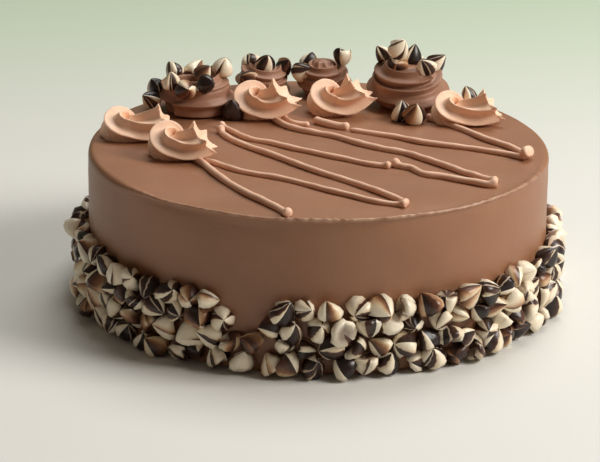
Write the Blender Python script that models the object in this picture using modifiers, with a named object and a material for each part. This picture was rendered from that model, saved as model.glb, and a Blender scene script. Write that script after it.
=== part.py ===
"""A round chocolate cake, iced smooth, as one solid for each separate piece.

The iced cake carries a border of marbled chocolate drops round its foot and a
zigzag of piped chocolate cream on its top; both are fused to it. A crescent of
piped swirls stands on the back of the top: light rosettes, and wider dark
swirls that hold marbled drops, each pressed into its own seat.

Units are metres, +Z is up, and the origin is the centre of the cake's foot.
"""

import math

import bmesh
import bpy
import numpy as np
from mathutils import Matrix, Vector

MM = 0.001

# The iced cake
CAKE_RADIUS = 100.0 * MM
CAKE_HEIGHT = 67.0 * MM
CAKE_FOOT_CHAMFER = 1.0 * MM
RIM_ROUNDING = 1.4 * MM
RIM_RISE = 0.35 * MM
CAKE_SIDES = 64

# One marbled drop: a round-footed cone with a drawn tip
DROP_RADIUS = 5.5 * MM
DROP_LENGTH = 10.8 * MM
DROP_PROFILE = ((0.0, 0.0), (0.94, 0.17), (0.62, 0.60), (0.0, 1.0))
DROP_SIDES = 6
BORDER_DROP_SIDES = 5
BORDER_DROP_PROFILE = ((0.0, 0.0), (1.0, 0.26), (0.0, 1.0))
DROP_BALANCE = 0.38

GOLDEN_ANGLE = math.radians(137.5)

# The border of drops round the foot of the cake
BORDER_SEED = 7
BORDER_ROWS = 4
BORDER_ROW_FOOT = 5.6 * MM
BORDER_ROW_PITCH = 8.0 * MM
BORDER_DROP_PITCH = 10.0 * MM
BORDER_BITE = 0.7 * MM
BORDER_TOP_HEIGHT = 34.0 * MM
BORDER_DIP_BEARING = math.radians(-106.0)
BORDER_DIP_WIDTH = math.radians(5.0)
BORDER_DIP_DEPTH = 14.0 * MM

# The piped zigzag
ROPE_SINK = 0.3
ROPE_SPACING = 15.0 * MM

# Fusing a piped swirl into one skin
REMESH_SIZE = 0.5 * MM

# Gap left between neighbouring solids
GAP = 0.3 * MM


def clear_scene():
    for item in list(bpy.data.objects):
        bpy.data.objects.remove(item, do_unlink=True)


def new_collection(name, parent):
    made = bpy.data.collections.new(name)
    parent.children.link(made)
    return made


def new_material(name, colour, roughness):
    made = bpy.data.materials.new(name)
    made.use_nodes = True
    shader = made.node_tree.nodes["Principled BSDF"]
    shader.inputs["Base Color"].default_value = (*colour, 1.0)
    shader.inputs["Roughness"].default_value = roughness
    shader.inputs["Metallic"].default_value = 0.0
    made.diffuse_color = (*colour, 1.0)
    return made


def mesh_object(name, points, faces, collection, material):
    mesh = bpy.data.meshes.new(name)
    mesh.from_pydata([tuple(p) for p in points], [], [tuple(f) for f in faces])
    mesh.validate()
    if material:
        mesh.materials.append(material)
    made = bpy.data.objects.new(name, mesh)
    collection.objects.link(made)
    return made


def outward_normals(mesh):
    work = bmesh.new()
    work.from_mesh(mesh)
    bmesh.ops.recalc_face_normals(work, faces=work.faces)
    work.to_mesh(mesh)
    work.free()


def bake_modifiers(item):
    """The object's mesh as its modifiers leave it, with the modifiers gone."""
    bpy.context.view_layer.update()
    graph = bpy.context.evaluated_depsgraph_get()
    mesh = bpy.data.meshes.new_from_object(item.evaluated_get(graph))
    item.modifiers.clear()
    item.data = mesh


def boolean(item, operation, operand, solver="EXACT", self_overlap=False):
    """Joins an object or a collection to the item, or cuts it away, and bakes the result."""
    step = item.modifiers.new(operation.title(), "BOOLEAN")
    step.operation = operation
    step.solver = solver
    if isinstance(operand, bpy.types.Collection):
        step.operand_type = "COLLECTION"
        step.collection = operand
    else:
        step.object = operand
    if solver == "EXACT":
        step.use_self = self_overlap
    bake_modifiers(item)


def empty_collection(collection):
    for item in list(collection.objects):
        bpy.data.objects.remove(item, do_unlink=True)


# The drop


def drop_mesh(name, material, profile, sides, grow=0.0):
    """A profile spun round Z, with its foot down and its balance point at the origin."""
    work = bmesh.new()
    balance = DROP_BALANCE * DROP_LENGTH
    ring = []
    for across, along in profile:
        radius = across * (DROP_RADIUS + grow)
        height = along * (DROP_LENGTH + 2.0 * grow) - grow - balance
        ring.append(work.verts.new((radius, 0.0, height)))
    edges = [work.edges.new(pair) for pair in zip(ring, ring[1:])]
    bmesh.ops.spin(
        work, geom=ring + edges, cent=(0, 0, 0), axis=(0, 0, 1), dvec=(0, 0, 0),
        angle=2.0 * math.pi, steps=sides, use_duplicate=False,
    )
    bmesh.ops.remove_doubles(work, verts=work.verts, dist=1e-6)
    bmesh.ops.recalc_face_normals(work, faces=work.faces)
    mesh = bpy.data.meshes.new(name)
    work.to_mesh(mesh)
    work.free()
    if material:
        mesh.materials.append(material)
    return mesh


def drop_matrix(place, axis, roll, size):
    """Stands a drop at a place with its tip along the axis."""
    turn = Vector((0, 0, 1)).rotation_difference(Vector(axis)).to_matrix().to_4x4()
    return (
        Matrix.Translation(Vector(place)) @ turn
        @ Matrix.Rotation(roll, 4, "Z") @ Matrix.Scale(size, 4)
    )


# The border of drops


def angle_between(a, b):
    return abs((a - b + math.pi) % (2.0 * math.pi) - math.pi)


def border_top(bearing):
    """Height of the border's uneven upper edge at a bearing round the cake."""
    wave = 1.6 * math.sin(5.0 * bearing + 0.4) + 1.3 * math.sin(11.0 * bearing + 2.0)
    dip = math.exp(-((angle_between(bearing, BORDER_DIP_BEARING) / BORDER_DIP_WIDTH) ** 2))
    return BORDER_TOP_HEIGHT + wave * MM - BORDER_DIP_DEPTH * dip


def border_drops():
    """Bearing, height, axis, roll and size of each drop: staggered rows, each drop jittered and tumbled."""
    draw = np.random.default_rng(BORDER_SEED)
    found = []
    count = int(2.0 * math.pi * (CAKE_RADIUS + 0.6 * DROP_RADIUS) / BORDER_DROP_PITCH)
    for row in range(BORDER_ROWS):
        for i in range(count):
            jitter = draw.uniform(-1.0, 1.0, 2)
            tumble = draw.uniform(-1.0, 1.0, 3)
            roll, size, lift = draw.uniform(0.0, 1.0, 3)
            bearing = 2.0 * math.pi * (i + 0.5 * (row % 2) + 0.16 * jitter[0]) / count
            height = BORDER_ROW_FOOT + row * BORDER_ROW_PITCH + 1.1 * MM * jitter[1]
            if height > border_top(bearing) + 1.5 * MM * (lift - 0.5):
                continue
            outward = Vector((math.cos(bearing), math.sin(bearing), 0.0))
            along = Vector((-math.sin(bearing), math.cos(bearing), 0.0))
            axis = outward * (0.50 + 0.8 * tumble[0]) + along * 1.1 * tumble[1]
            axis += Vector((0.0, 0.0, 0.25 + 0.95 * tumble[2]))
            found.append((bearing, height, axis.normalized(), 2.0 * math.pi * roll, 0.80 + 0.26 * size))
    return found


def press_on(shape, bearing, height, axis, roll, size):
    """Where a drop goes: moved inwards until it bites the icing, and up until it clears the foot."""
    outward = Vector((math.cos(bearing), math.sin(bearing), 0.0))
    turned = drop_matrix(outward * 2.0 * CAKE_RADIUS + Vector((0.0, 0.0, height)), axis, roll, size)
    spots = [turned @ corner.co for corner in shape.vertices]
    nearest = min(math.hypot(spot.x, spot.y) for spot in spots)
    lowest = min(spot.z for spot in spots)
    move = outward * (CAKE_RADIUS - BORDER_BITE - nearest)
    move.z = max(0.0, GAP - lowest)
    return Matrix.Translation(move) @ turned


# The piped zigzag, run by run from its free end at the front. Each run has its
# radius and the swelling of its two ends, then the bends of its centre line on
# the cake's top, all in millimetres but the swellings.
ZIGZAG_RUNS = (
    (1.55, 0.75, 0.55,
      ((-12, -96.5), (-16.5, -88), (-25, -76), (-35, -61), (-44, -43), (-49, -31),
       (-54, -21.5))),
    (1.25, 0.55, 0.90,
      ((-54, -21.5), (-46, -27.5), (-33, -39.5), (-13, -50.5), (6, -64.5), (22, -76),
       (33, -81), (36, -82.5))),
    (1.40, 0.55, 0.90,
      ((36, -81), (32, -73), (19, -58), (0, -39.5), (-20, -17), (-34, -2),
       (-40.5, 8), (-43.5, 17))),
    (1.25, 0.50, 0.50,
      ((-43.5, 24.5), (-37.5, 15.5), (-31, 6), (-20, -0.5), (-7, -9.5), (10, -20.5),
       (22.5, -28), (30.5, -31))),
    (1.50, 0.60, 0.75,
      ((32.5, -27), (35.5, -31), (39.5, -33.5), (44.5, -41), (52.5, -44), (63.5, -49.5),
       (70.5, -53.5), (74.5, -52.5))),
    (1.45, 0.55, 0.60,
      ((74.5, -50.5), (68.5, -44), (59.5, -35.5), (48.5, -22.5), (43.5, -18), (36.5, -11.5),
       (26.5, -6), (19.5, -1), (6.5, 10.5), (-7, 18), (-16, 27.5), (-21, 39))),
    (1.30, 0.30, 0.10,
      ((-16, 36.5), (-11, 29), (-4, 26.5))),
    (1.75, 0.10, 0.25,
      ((-2, 33), (6.5, 25.5), (13.5, 22.5))),
    (1.30, 0.10, 1.60,
      ((13.5, 20), (23.5, 15.5), (33.5, 11), (46.5, 3.5), (66, -4), (81, -11.5),
       (85, -14), (90, -17))),
    (1.40, 1.10, 0.75,
      ((90.5, -15.5), (82, 0), (72, 11), (63, 23.5), (53, 35.5), (48, 39))),
)


def smooth_run(bends, spacing):
    """Points along a Catmull-Rom curve through the bends, about one spacing apart."""
    bends = np.array(bends, float) * MM
    ends = np.vstack([2 * bends[0] - bends[1], bends, 2 * bends[-1] - bends[-2]])
    points = [bends[0]]
    for a, b, c, d in zip(ends, ends[1:], ends[2:], ends[3:]):
        steps = max(1, round(float(np.linalg.norm(c - b)) / spacing))
        for t in np.arange(1, steps + 1) / steps:
            points.append(0.5 * (2 * b + (c - a) * t + (2 * a - 5 * b + 4 * c - d) * t**2
                                 + (3 * b - a - 3 * c + d) * t**3))
    return np.array(points)


def rope_object(name, run, grow, collection, material):
    """A tube along one run on the cake's top, thicker at the ends where the cream lands."""
    radius, first_swell, last_swell, bends = run
    radius = radius * MM
    route = smooth_run(bends, ROPE_SPACING)
    for end, inner in ((0, 1), (-1, -2)):
        back = route[end] - route[inner]
        route[end] += back / np.linalg.norm(back) * grow
    curve = bpy.data.curves.new(name, "CURVE")
    curve.dimensions = "3D"
    curve.bevel_depth = 1.0
    curve.bevel_resolution = 1
    curve.use_fill_caps = True
    spots = [route[0], route[0] + 0.3 * (route[1] - route[0]), *route[1:-1]]
    spots += [route[-1] + 0.3 * (route[-2] - route[-1]), route[-1]]
    swells = [first_swell, 0.45 * first_swell] + [0.0] * (len(route) - 2) + [0.45 * last_swell, last_swell]
    line = curve.splines.new("POLY")
    line.points.add(len(spots) - 1)
    for point, (x, y), swell in zip(line.points, spots, swells):
        thickness = radius * (1.0 + swell)
        point.co = (x, y, CAKE_HEIGHT + thickness - ROPE_SINK * radius, 1.0)
        point.radius = thickness + grow
    tube = bpy.data.objects.new(name, curve)
    collection.objects.link(tube)
    bake_curve(tube, collection, material)


def bake_curve(tube, collection, material):
    """Puts a closed mesh in the place of a curve object."""
    name = tube.name
    bpy.context.view_layer.update()
    graph = bpy.context.evaluated_depsgraph_get()
    mesh = bpy.data.meshes.new_from_object(tube.evaluated_get(graph))
    bpy.data.objects.remove(tube, do_unlink=True)
    work = bmesh.new()
    work.from_mesh(mesh)
    bmesh.ops.remove_doubles(work, verts=work.verts, dist=1e-6)
    bmesh.ops.recalc_face_normals(work, faces=work.faces)
    work.to_mesh(mesh)
    work.free()
    mesh.materials.clear()
    if material:
        mesh.materials.append(material)
    collection.objects.link(bpy.data.objects.new(name, mesh))


# The iced cake


def cake_body(collection, material):
    """The cake's outline from rim to foot, turned round Z."""
    mesh = bpy.data.meshes.new("cake")
    outline = [(0.0, CAKE_HEIGHT), (CAKE_RADIUS - 3.0 * MM, CAKE_HEIGHT)]
    outline.append((CAKE_RADIUS - RIM_ROUNDING, CAKE_HEIGHT + RIM_RISE))
    outline.append((CAKE_RADIUS, CAKE_HEIGHT - RIM_ROUNDING))
    outline.append((CAKE_RADIUS, CAKE_FOOT_CHAMFER))
    outline.append((CAKE_RADIUS - CAKE_FOOT_CHAMFER, 0.0))
    outline.append((0.0, 0.0))
    points = [(radius, 0.0, height) for radius, height in outline]
    mesh.from_pydata(points, [(i, i + 1) for i in range(len(points) - 1)], [])
    mesh.materials.append(material)
    body = bpy.data.objects.new("cake", mesh)
    collection.objects.link(body)
    turn = body.modifiers.new("Turn", "SCREW")
    turn.axis = "Z"
    turn.steps = turn.render_steps = CAKE_SIDES
    turn.use_merge_vertices = True
    turn.merge_threshold = 0.00001
    bake_modifiers(body)
    outward_normals(body.data)
    return body


def fuse_toppings(body, collection, cream, marbled):
    """Joins the border of drops and the zigzag to the cake in one union."""
    shape = drop_mesh("border_drop", marbled, BORDER_DROP_PROFILE, BORDER_DROP_SIDES)
    for drawn in border_drops():
        drop = bpy.data.objects.new("border_drop", shape)
        collection.objects.link(drop)
        drop.matrix_world = press_on(shape, *drawn)
    for run in ZIGZAG_RUNS:
        rope_object("zigzag_run", run, 0.0, collection, cream)
    boolean(body, "UNION", collection, solver="MANIFOLD")
    empty_collection(collection)


# The piped swirls


def smooth_step(x):
    """Rises from 0 to 1 as x does, level at both ends."""
    x = np.clip(x, 0.0, 1.0)
    return x * x * (3.0 - 2.0 * x)


def star_outline(turn, ridges, depth):
    """Radius round a star nozzle's mouth: crisp crests with hollow flutes between."""
    share = (turn * ridges) % 1.0
    return 1.0 - depth * np.sin(np.pi * share) ** 0.8


def swirl_rings(swirl, along_steps, round_steps):
    """The swirl as rings of points along a star-sectioned rope.

    The rope's centre line winds round in a plane that leans back, its distance
    from the middle and its height changing on the way, and then runs straight
    on and up. Its star section turns a little along it, and its crests are
    drawn out at the end.
    """
    end = math.radians(swirl["end_bearing"])
    lean = math.radians(swirl["lean"])
    wound = swirl["turns"] * 2.0 * math.pi
    wound_length = wound * 0.5 * (swirl["start_reach"] + swirl["end_reach"])
    wound_share = wound_length / (wound_length + swirl["run_on"])
    t = np.linspace(0.0, 1.0, along_steps)
    share = np.minimum(t / wound_share, 1.0)
    past = np.maximum(t - wound_share, 0.0) / (1.0 - wound_share)
    angle = end - wound * (1.0 - share)
    reach = swirl["start_reach"] + (swirl["end_reach"] - swirl["start_reach"]) * smooth_step(share)
    across = reach * np.cos(angle) - np.sin(end) * swirl["run_on"] * past
    back = reach * np.sin(angle) + np.cos(end) * swirl["run_on"] * past
    grown = swirl["start_thick"] + (1.0 - swirl["start_thick"]) * smooth_step(t / swirl["grow"])
    thick = swirl["rope"] * grown * (1.0 + (swirl["flare"] - 1.0) * past**2) * (1.0 - swirl["taper"] * t**2)
    z = swirl["lift"] + back * math.cos(lean) + swirl["climb"] * share**1.3 + swirl["tail_rise"] * past**2
    centre = np.stack([across, back * math.sin(lean), z], -1)
    forward = np.gradient(centre, axis=0)
    forward /= np.linalg.norm(forward, axis=1)[:, None]
    side = np.cross(forward, (0.0, -math.cos(lean), math.sin(lean)))
    side /= np.linalg.norm(side, axis=1)[:, None]
    over = np.cross(side, forward)
    turn = np.arange(round_steps) / round_steps
    hollow = 1.0 - star_outline(turn, swirl["ridges"], 1.0)
    depth = swirl["depth"] + (swirl["end_depth"] - swirl["depth"]) * past**2
    twist = 2.0 * math.pi * (turn[None, :] + swirl["phase"] + swirl["twist"] * t[:, None])
    ring = np.cos(twist)[..., None] * side[:, None] + np.sin(twist)[..., None] * over[:, None]
    rings = centre[:, None] + ring * (thick[:, None] * (1.0 - depth[:, None] * hollow))[..., None]
    drawn = swirl["drawn"] * (1.0 - hollow / hollow.max()) ** 1.5
    rings[-1] += forward[-1] * drawn[:, None] + ring[-1] * 0.35 * drawn[:, None]
    return rings


def mound_rings(radius, height, ridges, round_steps):
    """The low star-ridged mound under a swirl: a dome whose ridges lean round it as they rise."""
    s = np.array((0.0, 0.12, 0.3, 0.5, 0.7, 0.85, 1.0))
    out = radius * np.array((0.90, 0.98, 1.0, 0.93, 0.74, 0.50, 0.06))
    up = height * np.array((-0.05, 0.12, 0.34, 0.60, 0.83, 0.95, 1.0))
    turn = np.arange(round_steps) / round_steps
    star = star_outline(turn[None, :] + 0.12 * s[:, None], ridges, 0.16)
    x = out[:, None] * star * np.cos(2.0 * math.pi * turn) - 0.1 * radius
    y = out[:, None] * star * np.sin(2.0 * math.pi * turn) + 0.12 * radius
    return np.stack([x, y, np.broadcast_to(up[:, None], x.shape)], -1)


def closed_loft(rings, first_number):
    """Points and faces of a closed solid through the rings, with a fan at each end."""
    along, around = rings.shape[:2]
    points = np.vstack([rings.reshape(-1, 3), rings[:1].mean(1), rings[-1:].mean(1)])
    i, j = np.meshgrid(np.arange(along - 1), np.arange(around), indexing="ij")
    k = (j + 1) % around
    quads = np.stack([i * around + j, i * around + k, (i + 1) * around + k, (i + 1) * around + j], -1)
    faces = [tuple(map(int, q)) for q in quads.reshape(-1, 4) + first_number]
    first, last = along * around + first_number, along * around + 1 + first_number
    for a in range(around):
        b = (a + 1) % around
        faces.append((first, b + first_number, a + first_number))
        faces.append((last, (along - 1) * around + a + first_number, (along - 1) * around + b + first_number))
    return points, faces


LIGHT = {
    "turns": 0.62, "start_reach": 1.4 * MM, "end_reach": 5.4 * MM, "run_on": 11.0 * MM, "rope": 7.3 * MM,
    "start_thick": 0.42, "grow": 0.5, "taper": 0.0, "flare": 1.10, "climb": 0.0, "tail_rise": 2.4 * MM,
    "lift": 9.2 * MM, "lean": 46.0, "ridges": 8, "depth": 0.36, "end_depth": 0.44, "twist": -0.05,
    "phase": 0.03, "drawn": 3.0 * MM, "end_bearing": -90.0, "mound": (9.8 * MM, 5.6 * MM, 9),
}
DARK = {
    "turns": 2.1, "start_reach": 12.5 * MM, "end_reach": 9.5 * MM, "run_on": 4.0 * MM, "rope": 6.8 * MM,
    "start_thick": 0.85, "grow": 0.25, "taper": 0.12, "flare": 1.0, "climb": 10.0 * MM, "tail_rise": 1.0 * MM,
    "lift": 6.2 * MM, "lean": 78.0, "ridges": 6, "depth": 0.24, "end_depth": 0.3, "twist": 0.08,
    "phase": 0.04, "drawn": 1.0 * MM, "end_bearing": -60.0, "mound": (12.5 * MM, 19.0 * MM, 9),
}

# Where each swirl stands on the cake's top: x and y in millimetres, size, turn in
# degrees, and what differs from its kind
LIGHT_SWIRLS = (
    ("rosette_1", LIGHT, -82.8, 10.0, 1.22, 4.0, {
        "rope": 6.4 * MM, "lift": 7.0 * MM, "lean": 56.0, "run_on": 13.0 * MM, "tail_rise": 1.6 * MM}),
    ("rosette_2", LIGHT, -61.3, -16.2, 1.14, 0.0, {"rope": 6.9 * MM, "lift": 8.9 * MM}),
    ("rosette_3", LIGHT, -26.5, 44.0, 1.10, -4.0, {"tail_rise": 3.6 * MM}),
    ("rosette_4", LIGHT, 6.5, 50.0, 1.06, 6.0, {"tail_rise": 4.4 * MM}),
    ("rosette_5", LIGHT, 61.8, 39.0, 1.14, 2.0, {"run_on": 13.0 * MM, "rope": 6.6 * MM, "lift": 8.2 * MM}),
)
DARK_SWIRLS = (
    ("dark_swirl_1", DARK, -55.5, 50.0, 1.0, 80.0, {
        "turns": 1.4, "run_on": 7.0 * MM, "climb": 6.0 * MM, "lean": 90.0, "lift": 5.4 * MM,
        "tail_rise": 5.0 * MM, "mound": (12.0 * MM, 12.0 * MM, 9)}),
    ("dark_swirl_2", DARK, -25.5, 74.0, 0.70, 60.0, {}),
    ("dark_swirl_3", DARK, 2.5, 76.0, 0.70, 0.0, {"climb": 12.0 * MM, "mound": (12.5 * MM, 24.0 * MM, 9)}),
    ("dark_swirl_4", DARK, 40.0, 61.5, 1.0, 0.0, {"climb": 9.8 * MM, "start_reach": 13.2 * MM}),
)


def piped_swirl(name, kind, x, y, size, turn, changes, faces_left, collection, cutters, material):
    """A piped swirl standing on the cake's top, cut flat a hair above it.

    The rope and the mound under it are fused by a voxel remesh, and the fine
    skin is then brought down to the number of faces given.
    """
    swirl = {**kind, **changes}
    points, faces = closed_loft(swirl_rings(swirl, 60, 6 * swirl["ridges"]), 0)
    radius, height, ridges = swirl["mound"]
    more_points, more_faces = closed_loft(mound_rings(radius, height, ridges, 6 * ridges), len(points))
    made = mesh_object(name, np.vstack([points, more_points]), faces + more_faces, collection, material)
    outward_normals(made.data)
    place = Matrix.Translation((x * MM, y * MM, CAKE_HEIGHT))
    made.data.transform(place @ Matrix.Rotation(math.radians(turn), 4, "Z") @ Matrix.Scale(size, 4))
    skin = made.modifiers.new("Fuse", "REMESH")
    skin.mode = "VOXEL"
    skin.voxel_size = REMESH_SIZE
    bake_modifiers(made)
    fewer = made.modifiers.new("Simplify", "DECIMATE")
    fewer.ratio = faces_left / len(made.data.polygons) / 2.0
    fewer.use_collapse_triangulate = True
    bake_modifiers(made)
    boolean(made, "DIFFERENCE", cutters, solver="MANIFOLD")
    made.data.materials.clear()
    made.data.materials.append(material)
    return made


def swirl_cutters(collection):
    """What the swirls are cut with: all below their feet, and the zigzag with its gap round it."""
    bpy.ops.mesh.primitive_cube_add(size=1.0)
    slab = bpy.context.active_object
    slab.name = "below_the_swirls"
    depth = 40.0 * MM
    slab.data.transform(
        Matrix.Translation((0.0, 0.0, CAKE_HEIGHT + GAP - depth / 2))
        @ Matrix.Diagonal((4 * CAKE_RADIUS, 4 * CAKE_RADIUS, depth, 1.0))
    )
    for owner in list(slab.users_collection):
        owner.objects.unlink(slab)
    collection.objects.link(slab)
    for run in ZIGZAG_RUNS:
        rope_object("zigzag_clearance", run, 1.3 * GAP, collection, None)
    for cutter in collection.objects:
        cutter.hide_render = True
        cutter.display_type = "WIRE"


# The drops that lie on the swirls and on the cake's top, from the left, then the
# ones at the back: x, y and height above the cake's top of the balance point in
# millimetres, the bearing and elevation of the tip in degrees, and the size
TOP_DROPS = (
    (-73.5, 53.5, 9.5, -150, 55, 0.88), (-75.2, 45.2, 6.0, -135, 40, 0.88), (-66.0, 39.5, 16.5, -135, 75, 0.82),
    (-59.0, 33.5, 14.5, -75, 30, 0.90), (-51.5, 48.5, 17.5, -20, 55, 0.85), (-49.5, 35.5, 16.5, -45, 20, 0.85),
    (-43.0, 53.5, 19.5, -45, 65, 0.88), (-24.0, 72.0, 16.0, -55, 60, 0.90), (-32.5, 66.5, 10.0, -140, 20, 0.90),
    (-15.5, 77.0, 13.0, -45, 40, 0.85), (-7.5, 74.0, 11.5, -25, 30, 0.90), (10.5, 77.0, 17.5, -115, -70, 0.88),
    (36.0, 58.5, 27.1, -35, 45, 0.95), (28.5, 68.5, 22.0, 160, 50, 0.85), (35.0, 60.2, 19.8, -110, 20, 0.97),
    (42.5, 67.0, 22.0, 35, 70, 0.85), (47.5, 53.0, 21.0, -125, 55, 0.90), (53.0, 67.0, 18.0, -25, 40, 0.88),
    (67.0, 46.0, 10.0, -145, 70, 0.85), (36.5, 39.0, 4.2, -125, 75, 0.95), (42.8, 32.9, 5.0, -70, 55, 1.00),
    (-38.3, 36.5, 4.2, -70, 70, 0.97), (-65.5, 62.5, 15.0, 120, 50, 0.90), (-56.5, 67.0, 13.5, 55, 40, 0.90),
    (-31.0, 81.0, 14.0, 105, 40, 0.90), (-4.0, 83.0, 14.0, 60, 55, 0.90), (34.0, 75.0, 16.5, 120, 30, 0.90),
    (45.0, 75.5, 16.0, 50, 25, 0.90),
)


def top_drops(collection, cutters, material):
    """Each drop as its own solid, and a copy of it, one gap larger all round, that cuts its seat."""
    for number, (x, y, height, bearing, elevation, size) in enumerate(TOP_DROPS, 1):
        place = Vector((x, y, height)) * MM + Vector((0.0, 0.0, CAKE_HEIGHT))
        level = math.cos(math.radians(elevation))
        tip = (level * math.cos(math.radians(bearing)), level * math.sin(math.radians(bearing)),
               math.sin(math.radians(elevation)))
        stand = drop_matrix(place, tip, number * GOLDEN_ANGLE, size)
        drop = bpy.data.objects.new(f"top_drop_{number:02d}", drop_mesh("top_drop", material, DROP_PROFILE, DROP_SIDES))
        collection.objects.link(drop)
        drop.data.transform(stand)
        seat = bpy.data.objects.new("drop_seat", drop_mesh("drop_seat", None, DROP_PROFILE, DROP_SIDES, 1.2 * GAP))
        cutters.objects.link(seat)
        seat.data.transform(stand)


def main():
    clear_scene()
    root = bpy.context.scene.collection
    parts = new_collection("chocolate_cake", root)
    cutters = new_collection("cutters", root)
    toppings = new_collection("fused_toppings", root)
    icing = new_material("chocolate_icing", (0.30, 0.16, 0.10), 0.55)
    light_cream = new_material("light_piped_cream", (0.74, 0.43, 0.28), 0.5)
    dark_cream = new_material("dark_piped_cream", (0.22, 0.11, 0.07), 0.5)
    marbled = new_material("marbled_chocolate", (0.55, 0.42, 0.30), 0.35)

    body = cake_body(parts, icing)
    fuse_toppings(body, toppings, light_cream, marbled)
    top_drops(parts, cutters, marbled)
    swirl_cutters(cutters)
    for placed in LIGHT_SWIRLS:
        piped_swirl(*placed, 290, parts, cutters, light_cream)
    for placed in DARK_SWIRLS:
        piped_swirl(*placed, 260, parts, cutters, dark_cream)


main()
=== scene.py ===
import math

import bpy
import numpy as np
from mathutils import Matrix, Vector


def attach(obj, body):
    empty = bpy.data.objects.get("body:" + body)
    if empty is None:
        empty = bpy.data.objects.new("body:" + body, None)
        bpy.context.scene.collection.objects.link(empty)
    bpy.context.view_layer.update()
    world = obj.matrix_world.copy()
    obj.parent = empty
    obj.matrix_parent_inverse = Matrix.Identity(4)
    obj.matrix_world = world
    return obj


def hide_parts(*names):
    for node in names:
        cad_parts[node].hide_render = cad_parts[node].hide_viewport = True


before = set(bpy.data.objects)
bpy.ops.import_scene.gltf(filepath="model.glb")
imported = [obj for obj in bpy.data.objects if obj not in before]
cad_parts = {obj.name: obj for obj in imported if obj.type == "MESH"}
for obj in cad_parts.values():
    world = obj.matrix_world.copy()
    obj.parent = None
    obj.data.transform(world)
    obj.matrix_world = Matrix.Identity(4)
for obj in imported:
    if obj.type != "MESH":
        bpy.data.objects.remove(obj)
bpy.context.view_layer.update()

# A round chocolate cake, iced smooth: a border of marbled drops round its foot, a zigzag
# of piped cream on its top, and a crescent of piped swirls that hold more drops.
# Lengths are in metres, +Z is up and the origin is the centre of the cake's foot.

MM = 0.001
TURN = 2.0 * math.pi

CAKE_RADIUS = 100.0 * MM
CAKE_HEIGHT = 67.0 * MM
GOLDEN_ANGLE = math.radians(137.5)
GAP = 0.3 * MM
PETALS = 3
RING_NOISE_SPREAD = 0.992
LINE_NOISE_SPREAD = 1.12


# Small tools for arrays and meshes


def smooth_step(x):
    """Rises from 0 to 1 as x does, level at both ends: 3x^2 - 2x^3."""
    x = np.clip(x, 0.0, 1.0)
    return x * x * (3.0 - 2.0 * x)


def between(x, first, last, rise, fall):
    """1 between two limits: it rises from 0 past the first, and is back at 0 by the last."""
    return smooth_step((x - first) / rise) * smooth_step((last - x) / fall)


def bump_at(x, middle, width):
    """A bell of height 1 round a middle."""
    return np.exp(-(((x - middle) / width) ** 2))


def ring_noise(angle, seed, slowest, fastest, waves=9):
    """A closed wobble round a circle: a sum of whole-number sine waves, between about -1 and 1."""
    draw = np.random.default_rng(seed)
    counts = draw.integers(slowest, fastest + 1, waves)
    phases = draw.uniform(0.0, TURN, waves)
    sizes = draw.uniform(0.5, 1.0, waves)
    total = np.zeros_like(angle)
    for count, phase, size in zip(counts, phases, sizes):
        total = total + size * np.sin(count * angle + phase)
    return total / (RING_NOISE_SPREAD * np.sqrt(waves))


def line_noise(x, seed, longest, shortest, waves=9):
    """A wobble along a line: a sum of sine waves with lengths between two limits."""
    draw = np.random.default_rng(seed)
    lengths = np.exp(draw.uniform(np.log(shortest), np.log(longest), waves))
    phases = draw.uniform(0.0, TURN, waves)
    total = np.zeros_like(x)
    for length, phase in zip(lengths, phases):
        total = total + np.sin(TURN * x / length + phase)
    return total / (LINE_NOISE_SPREAD * np.sqrt(waves))


def grid_faces(rows, columns, wrap=True):
    """The quads of a grid of points stored row by row, closed across its columns when wrap is set."""
    across = np.arange(columns if wrap else columns - 1)
    i, j = np.meshgrid(np.arange(rows - 1), across, indexing="ij")
    k = (j + 1) % columns
    quads = np.stack([i * columns + j, i * columns + k, (i + 1) * columns + k, (i + 1) * columns + j], -1)
    return quads.reshape(-1, 4)


def fan_faces(ring, hub, flip):
    """Triangles from a closed ring of point numbers to one hub."""
    after = np.roll(ring, -1)
    pair = (after, ring) if flip else (ring, after)
    return np.stack([np.full(len(ring), hub), *pair], -1)


def new_mesh(name, points, quads, triangles=None, loop_uv=None, tones=None):
    """A mesh from whole arrays, with an optional UV value for each face corner and tones for each point."""
    mesh = bpy.data.meshes.new(name)
    triangles = np.zeros((0, 3), int) if triangles is None else triangles
    sides = np.concatenate([np.full(len(quads), 4), np.full(len(triangles), 3)])
    corners = np.concatenate([quads.reshape(-1), triangles.reshape(-1)]).astype(np.int32)
    mesh.vertices.add(len(points))
    mesh.vertices.foreach_set("co", np.asarray(points, np.float32).reshape(-1))
    mesh.loops.add(len(corners))
    mesh.loops.foreach_set("vertex_index", corners)
    mesh.polygons.add(len(sides))
    mesh.polygons.foreach_set("loop_start", np.concatenate([[0], np.cumsum(sides)[:-1]]).astype(np.int32))
    mesh.polygons.foreach_set("use_smooth", np.ones(len(sides), bool))
    mesh.update(calc_edges=True)
    if loop_uv is not None:
        layer = mesh.uv_layers.new(name="petals")
        layer.data.foreach_set("uv", np.asarray(loop_uv, np.float32).reshape(-1))
    if tones is not None:
        shade = mesh.color_attributes.new("tone", "FLOAT_COLOR", "POINT")
        four = np.concatenate([tones, np.ones((len(tones), 1))], 1)
        shade.data.foreach_set("color", np.asarray(four, np.float32).reshape(-1))
    mesh.validate()
    return mesh


def new_piece(name, mesh, material, slot, *nodes):
    """A piece of the cake: it rides on the one body, and stands for the solids named."""
    piece = bpy.data.objects.new(name, mesh)
    bpy.context.scene.collection.objects.link(piece)
    mesh.materials.append(material)
    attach(piece, "root")
    if nodes:
        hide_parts(*nodes)
    return piece


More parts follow.
